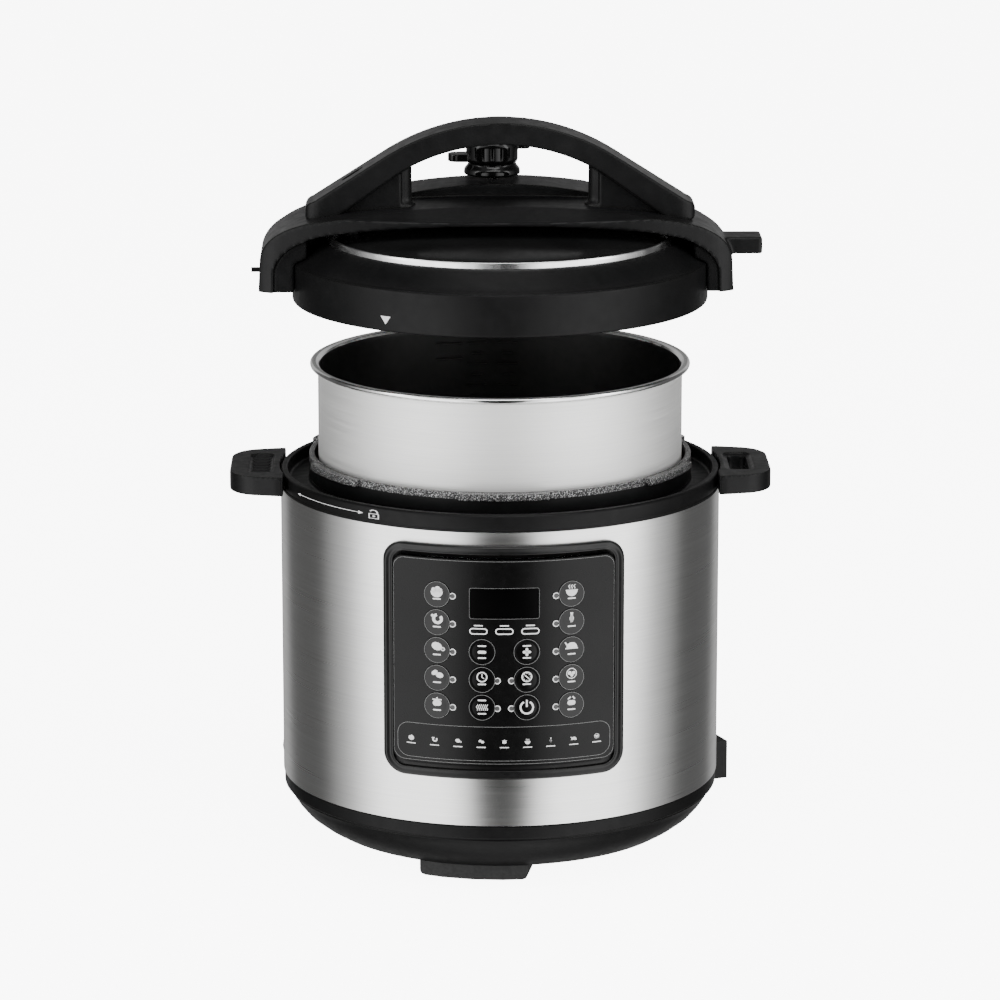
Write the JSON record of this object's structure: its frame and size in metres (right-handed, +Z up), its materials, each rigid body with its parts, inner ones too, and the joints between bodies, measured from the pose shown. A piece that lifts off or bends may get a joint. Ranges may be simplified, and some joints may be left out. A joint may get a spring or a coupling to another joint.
{
  "type": "electric pressure cooker",
  "caption": "Countertop electric pressure cooker drawn apart: round steel base with a button panel, lift-out pot and a locking lid with an arched handle.",
  "frame": {"origin": "on the cooker's axis at the floor, under the feet", "axes": "+Z up; the control panel faces -Y; +X is on the right of someone who stands in front and faces the panel"},
  "size_m": [0.34, 0.2891, 0.4594],
  "materials": {
    "matte_black": "fine matte moulded plastic",
    "gloss_black": "glossy moulded plastic",
    "brushed_steel": "vertically banded brushed stainless steel",
    "plain_steel": "pressed stainless steel",
    "speckled_enamel": "black finish with light grey speckles",
    "satin_aluminium": "satin, dark non-stick coating inside the pot",
    "cast_aluminium": "as cast",
    "chrome": "bright plated rim",
    "silicone": "translucent grey silicone",
    "foot_rubber": "soft black rubber",
    "circuit_board": "green laminate with parts"
  },
  "bodies": {
    "base": {"bottom_housing": "matte_black", "bottom_cover": "matte_black", "collar": "matte_black", "left_handle": "matte_black", "right_handle": "matte_black", "panel_bezel": "matte_black", "mains_inlet": "matte_black", "side_cap": "matte_black", "panel_overlay": "gloss_black", "display_lens": "gloss_black", "outer_shell": "brushed_steel", "liner_bucket": "plain_steel", "sensor_spring": "plain_steel", "sensor_bracket": "plain_steel", "inlet_pin_live": "plain_steel", "inlet_pin_earth": "plain_steel", "inlet_pin_neutral": "plain_steel", "bottom_screw_1": "plain_steel", "bottom_screw_2": "plain_steel", "bottom_screw_3": "plain_steel", "locking_ring": "speckled_enamel", "heating_plate": "cast_aluminium", "front_foot": "foot_rubber", "right_rear_foot": "foot_rubber", "left_rear_foot": "foot_rubber", "power_board": "circuit_board", "control_board": "circuit_board"},
    "inner_pot": {"inner_pot": "satin_aluminium"},
    "seal": {"sealing_ring": "silicone"},
    "lid": {"lid_plate": "plain_steel", "ring_rack": "plain_steel", "lid_cover": "matte_black", "chrome_rim": "chrome", "lid_dome": "gloss_black", "lid_saddle": "matte_black", "lid_handle": "matte_black", "lid_pin": "matte_black", "steam_pipe": "plain_steel", "anti_block_shield": "plain_steel", "float_gasket": "silicone"},
    "steam_knob": {"steam_knob": "gloss_black"},
    "float_valve": {"float_valve": "satin_aluminium"},
    "sensor": {"temperature_sensor": "satin_aluminium"},
    "collector": {"condensation_collector": "matte_black"},
    "key_rice": {"button_rice": "gloss_black"},
    "key_seafood": {"button_seafood": "gloss_black"},
    "key_meat": {"button_meat": "gloss_black"},
    "key_beans": {"button_beans": "gloss_black"},
    "key_slow_cook": {"button_slow_cook": "gloss_black"},
    "key_soup": {"button_soup": "gloss_black"},
    "key_yogurt": {"button_yogurt": "gloss_black"},
    "key_poultry": {"button_poultry": "gloss_black"},
    "key_vegetables": {"button_vegetables": "gloss_black"},
    "key_stew": {"button_stew": "gloss_black"},
    "key_minus": {"button_minus": "gloss_black"},
    "key_delay_timer": {"button_delay_timer": "gloss_black"},
    "key_keep_warm": {"button_keep_warm": "gloss_black"},
    "key_plus": {"button_plus": "gloss_black"},
    "key_pressure": {"button_pressure": "gloss_black"},
    "key_power": {"button_power": "gloss_black"}
  },
  "joints": [
    {"name": "pot_lift", "type": "slide", "parent": "base", "child": "inner_pot", "axis": [0, 0, 1], "range_m": [-0.0549, 0.1]},
    {"name": "lid_lift", "type": "slide", "parent": "inner_pot", "child": "seal", "axis": [0, 0, 1], "range_m": [-0.054, 0.04]},
    {"name": "lid_turn", "type": "hinge", "parent": "seal", "child": "lid", "pos_m": [0, 0, 0.36], "axis": [0, 0, 1], "range_deg": [-30, 0]},
    {"name": "knob_turn", "type": "hinge", "parent": "lid", "child": "steam_knob", "pos_m": [-0.004, 0.058, 0.41], "axis": [0, 0, 1], "range_deg": [-35, 0]},
    {"name": "float_rise", "type": "slide", "parent": "lid", "child": "float_valve", "axis": [0, 0, 1], "range_m": [0, 0.005]},
    {"name": "sensor_press", "type": "slide", "parent": "base", "child": "sensor", "axis": [0, 0, 1], "range_m": [-0.002, 0], "stiffness_N_per_m": 800, "springref_m": 0.002, "deforming": ["sensor_spring"]},
    {"name": "collector_pull", "type": "slide", "parent": "base", "child": "collector", "axis": [0, 1, 0], "range_m": [0, 0.035]},
    {"name": "press_rice", "type": "slide", "parent": "base", "child": "key_rice", "axis": [0.2914, 0.9566, 0], "range_m": [0, 0.0006], "stiffness_N_per_m": 300},
    {"name": "press_seafood", "type": "slide", "parent": "base", "child": "key_seafood", "axis": [0.2914, 0.9566, 0], "range_m": [0, 0.0006], "stiffness_N_per_m": 300},
    {"name": "press_meat", "type": "slide", "parent": "base", "child": "key_meat", "axis": [0.2914, 0.9566, 0], "range_m": [0, 0.0006], "stiffness_N_per_m": 300},
    {"name": "press_beans", "type": "slide", "parent": "base", "child": "key_beans", "axis": [0.2914, 0.9566, 0], "range_m": [0, 0.0006], "stiffness_N_per_m": 300},
    {"name": "press_slow_cook", "type": "slide", "parent": "base", "child": "key_slow_cook", "axis": [0.2914, 0.9566, 0], "range_m": [0, 0.0006], "stiffness_N_per_m": 300},
    {"name": "press_soup", "type": "slide", "parent": "base", "child": "key_soup", "axis": [-0.2914, 0.9566, 0], "range_m": [0, 0.0006], "stiffness_N_per_m": 300},
    {"name": "press_yogurt", "type": "slide", "parent": "base", "child": "key_yogurt", "axis": [-0.2914, 0.9566, 0], "range_m": [0, 0.0006], "stiffness_N_per_m": 300},
    {"name": "press_poultry", "type": "slide", "parent": "base", "child": "key_poultry", "axis": [-0.2914, 0.9566, 0], "range_m": [0, 0.0006], "stiffness_N_per_m": 300},
    {"name": "press_vegetables", "type": "slide", "parent": "base", "child": "key_vegetables", "axis": [-0.2914, 0.9566, 0], "range_m": [0, 0.0006], "stiffness_N_per_m": 300},
    {"name": "press_stew", "type": "slide", "parent": "base", "child": "key_stew", "axis": [-0.2914, 0.9566, 0], "range_m": [0, 0.0006], "stiffness_N_per_m": 300},
    {"name": "press_minus", "type": "slide", "parent": "base", "child": "key_minus", "axis": [0.0971, 0.9953, 0], "range_m": [0, 0.0006], "stiffness_N_per_m": 300},
    {"name": "press_delay_timer", "type": "slide", "parent": "base", "child": "key_delay_timer", "axis": [0.0971, 0.9953, 0], "range_m": [0, 0.0006], "stiffness_N_per_m": 300},
    {"name": "press_keep_warm", "type": "slide", "parent": "base", "child": "key_keep_warm", "axis": [0.0971, 0.9953, 0], "range_m": [0, 0.0006], "stiffness_N_per_m": 300},
    {"name": "press_plus", "type": "slide", "parent": "base", "child": "key_plus", "axis": [-0.0971, 0.9953, 0], "range_m": [0, 0.0006], "stiffness_N_per_m": 300},
    {"name": "press_pressure", "type": "slide", "parent": "base", "child": "key_pressure", "axis": [-0.0971, 0.9953, 0], "range_m": [0, 0.0006], "stiffness_N_per_m": 300},
    {"name": "press_power", "type": "slide", "parent": "base", "child": "key_power", "axis": [-0.0971, 0.9953, 0], "range_m": [0, 0.0006], "stiffness_N_per_m": 300}
  ]
}
